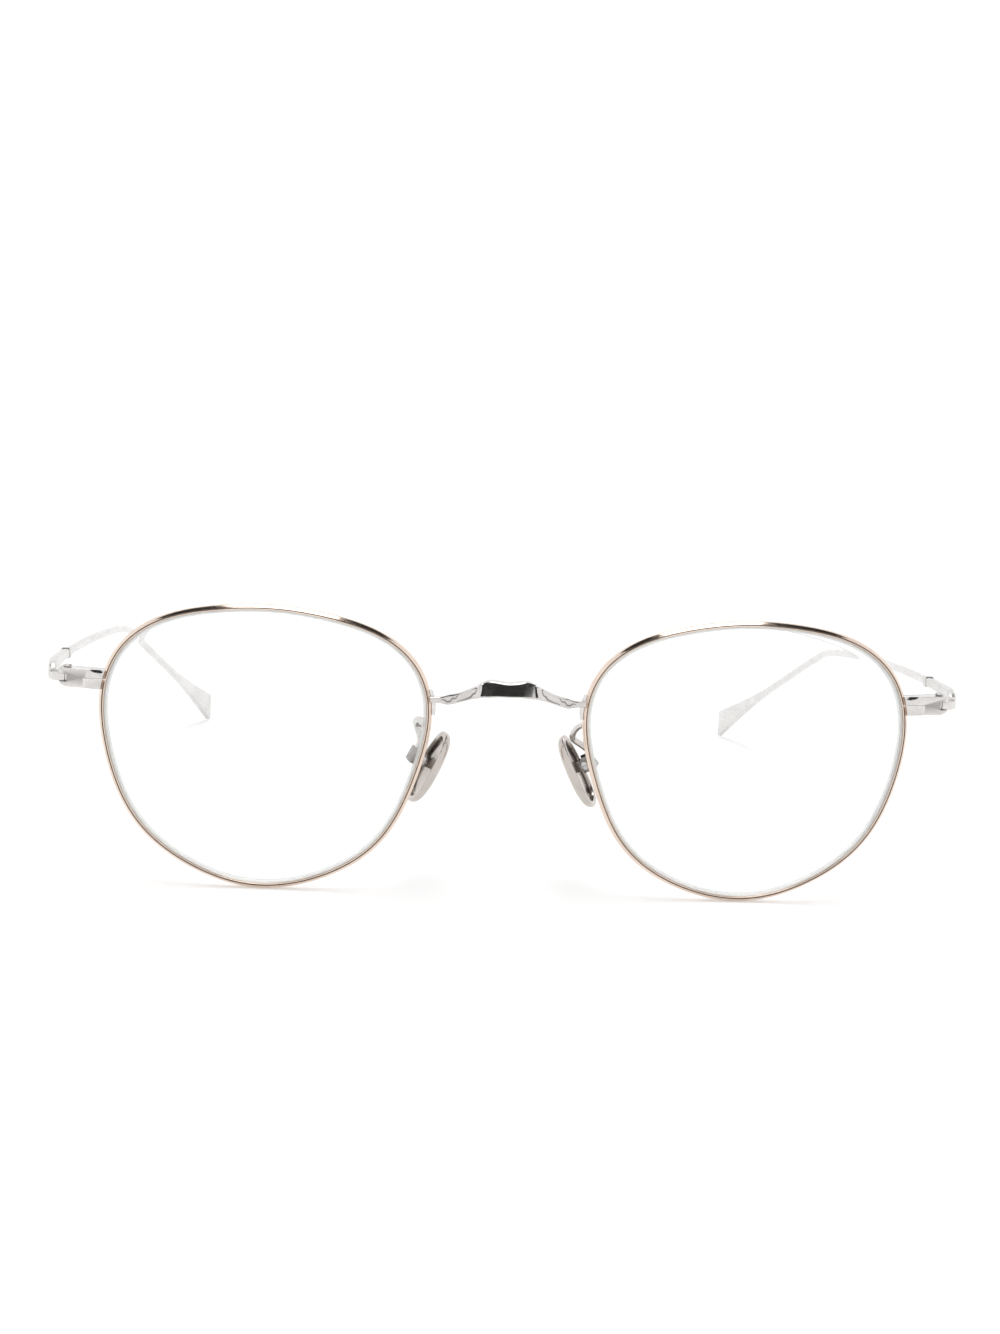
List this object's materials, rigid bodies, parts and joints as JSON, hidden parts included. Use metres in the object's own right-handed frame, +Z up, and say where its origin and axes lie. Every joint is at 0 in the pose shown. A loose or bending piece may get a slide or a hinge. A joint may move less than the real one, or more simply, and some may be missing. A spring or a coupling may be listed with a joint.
{
  "type": "eyeglasses",
  "caption": "Round metal eyeglasses with clear lenses, a saddle bridge, rocking nose pads and folding temples that end in flared tips.",
  "frame": {"origin": "the ground point under the middle of the whole object, with the temples open", "axes": "+X towards the viewer's right, +Y from the front to the temple ends, +Z up; the front faces -Y"},
  "size_m": [0.1376, 0.1432, 0.0427],
  "materials": {
    "rose_metal": "polished pale rose plating",
    "silver_metal": "polished pale metal",
    "temple_metal": "fine satin pale metal",
    "satin_metal": "satin grey-brown metal",
    "screw_steel": "turned steel",
    "clear_lens": "clear, polished"
  },
  "bodies": {
    "front": {"bridge": "silver_metal", "left_rim": "rose_metal", "left_lens": "clear_lens", "left_end_piece": "silver_metal", "left_closing_block": "silver_metal", "left_closing_screw": "screw_steel", "left_hinge_screw": "screw_steel", "left_pad_arm": "silver_metal", "left_pad_box": "silver_metal", "left_pad_screw": "screw_steel", "right_rim": "rose_metal", "right_lens": "clear_lens", "right_end_piece": "silver_metal", "right_closing_block": "silver_metal", "right_closing_screw": "screw_steel", "right_hinge_screw": "screw_steel", "right_pad_arm": "silver_metal", "right_pad_box": "silver_metal", "right_pad_screw": "screw_steel"},
    "left_side_arm": {"left_hinge_arm": "temple_metal", "left_temple": "temple_metal"},
    "right_side_arm": {"right_hinge_arm": "temple_metal", "right_temple": "temple_metal"},
    "left_pad": {"left_nose_pad": "satin_metal"},
    "right_pad": {"right_nose_pad": "satin_metal"}
  },
  "joints": [
    {"name": "left_temple_fold", "type": "hinge", "parent": "front", "child": "left_side_arm", "pos_m": [-0.0653, -0.0662, 0.03068], "axis": [0, -0.0066, -1], "range_deg": [0, 82]},
    {"name": "right_temple_fold", "type": "hinge", "parent": "front", "child": "right_side_arm", "pos_m": [0.0653, -0.0662, 0.03068], "axis": [0, 0.0066, 1], "range_deg": [0, 77]},
    {"name": "left_pad_rock", "type": "hinge", "parent": "front", "child": "left_pad", "pos_m": [-0.01251, -0.06324, 0.01942], "axis": [-0.2004, 0.975, 0.0957], "range_deg": [-6, 6]},
    {"name": "right_pad_rock", "type": "hinge", "parent": "front", "child": "right_pad", "pos_m": [0.01251, -0.06324, 0.01942], "axis": [0.2004, 0.975, 0.0957], "range_deg": [-6, 6]}
  ]
}
